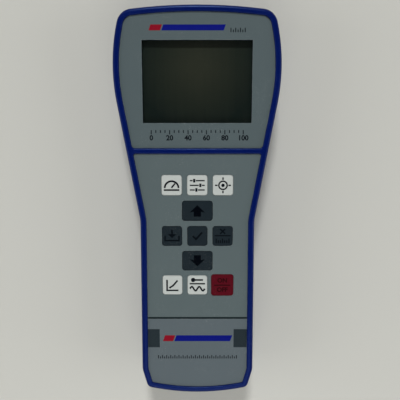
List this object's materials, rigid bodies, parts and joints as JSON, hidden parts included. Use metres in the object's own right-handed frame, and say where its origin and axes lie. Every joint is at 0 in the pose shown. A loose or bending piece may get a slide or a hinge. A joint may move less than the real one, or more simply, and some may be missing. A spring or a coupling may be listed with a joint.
{
  "type": "conductivity meter",
  "caption": "Handheld eddy current conductivity meter: waisted two-shell housing, recessed display, keypad with travelling keys, probe socket and sliding battery cover.",
  "frame": {"origin": "middle of the bounding box on the plane that the back rests on", "axes": "+Y from the grip to the display end, +Z out of the face, +X to the right as the display is read"},
  "size_m": [0.091, 0.22, 0.035],
  "materials": {
    "housing": "fine satin moulded plastic",
    "face_film": "matt printed film with a fine grain",
    "window": "clear cast sheet",
    "foam": "closed cell foam",
    "display_glass": "dark olive liquid crystal cell, unlit",
    "tin": "tinned sheet",
    "diffuser": "milky light guide",
    "circuit_board": "green solder mask",
    "black_moulding": "black moulding compound",
    "capacitor_can": "drawn can",
    "spring_steel": "nickelled strip",
    "socket_metal": "satin nickel plate",
    "gilt_contact": "gilt contact",
    "insert_brass": "turned brass",
    "cell_jacket": "shrunk plain sleeve",
    "screw_steel": "zinc plated",
    "key_white": "matt printed key",
    "key_dark": "matt printed key",
    "key_red": "matt printed key"
  },
  "bodies": {
    "housing": {"front_shell": "housing", "rear_shell": "housing", "display_overlay": "face_film", "keypad_overlay": "face_film", "lower_label": "face_film", "display_window": "window", "display_gasket": "foam", "display_glass": "display_glass", "display_bezel": "tin", "shield_can": "tin", "crystal_can": "tin", "backlight": "diffuser", "display_board": "circuit_board", "main_board": "circuit_board", "keypad_board": "circuit_board", "display_header": "black_moulding", "keypad_header": "black_moulding", "board_chips": "black_moulding", "socket_insulator": "black_moulding", "board_capacitors": "capacitor_can", "dome_switches": "spring_steel", "battery_springs": "spring_steel", "battery_contacts": "spring_steel", "probe_socket": "socket_metal", "socket_nut": "socket_metal", "socket_pins": "gilt_contact", "screw_inserts": "insert_brass", "battery_cells": "cell_jacket", "case_screws": "screw_steel", "board_screws": "screw_steel"},
    "cover": {"battery_cover": "housing", "cover_pad": "foam"},
    "key_measure": {"key_measure": "key_white"},
    "key_set": {"key_set": "key_white"},
    "key_calibrate": {"key_calibrate": "key_white"},
    "key_up": {"key_up": "key_dark"},
    "key_store": {"key_store": "key_dark"},
    "key_ok": {"key_ok": "key_dark"},
    "key_delete_unit": {"key_delete_unit": "key_dark"},
    "key_down": {"key_down": "key_dark"},
    "key_coefficient": {"key_coefficient": "key_white"},
    "key_temperature": {"key_temperature": "key_white"},
    "key_power": {"key_power": "key_red"}
  },
  "joints": [
    {"name": "key_measure_press", "type": "slide", "parent": "housing", "child": "key_measure", "axis": [0, 0, -1], "range_m": [0, 0.0006], "stiffness_N_per_m": 2500},
    {"name": "key_set_press", "type": "slide", "parent": "housing", "child": "key_set", "axis": [0, 0, -1], "range_m": [0, 0.0006], "stiffness_N_per_m": 2500},
    {"name": "key_calibrate_press", "type": "slide", "parent": "housing", "child": "key_calibrate", "axis": [0, 0, -1], "range_m": [0, 0.0006], "stiffness_N_per_m": 2500},
    {"name": "key_up_press", "type": "slide", "parent": "housing", "child": "key_up", "axis": [0, 0, -1], "range_m": [0, 0.0006], "stiffness_N_per_m": 2500},
    {"name": "key_store_press", "type": "slide", "parent": "housing", "child": "key_store", "axis": [0, 0, -1], "range_m": [0, 0.0006], "stiffness_N_per_m": 2500},
    {"name": "key_ok_press", "type": "slide", "parent": "housing", "child": "key_ok", "axis": [0, 0, -1], "range_m": [0, 0.0006], "stiffness_N_per_m": 2500},
    {"name": "key_delete_unit_press", "type": "slide", "parent": "housing", "child": "key_delete_unit", "axis": [0, 0, -1], "range_m": [0, 0.0006], "stiffness_N_per_m": 2500},
    {"name": "key_down_press", "type": "slide", "parent": "housing", "child": "key_down", "axis": [0, 0, -1], "range_m": [0, 0.0006], "stiffness_N_per_m": 2500},
    {"name": "key_coefficient_press", "type": "slide", "parent": "housing", "child": "key_coefficient", "axis": [0, 0, -1], "range_m": [0, 0.0006], "stiffness_N_per_m": 2500},
    {"name": "key_temperature_press", "type": "slide", "parent": "housing", "child": "key_temperature", "axis": [0, 0, -1], "range_m": [0, 0.0006], "stiffness_N_per_m": 2500},
    {"name": "key_power_press", "type": "slide", "parent": "housing", "child": "key_power", "axis": [0, 0, -1], "range_m": [0, 0.0006], "stiffness_N_per_m": 2500},
    {"name": "cover_slide", "type": "slide", "parent": "housing", "child": "cover", "axis": [0, -1, 0], "range_m": [0, 0.074]}
  ]
}
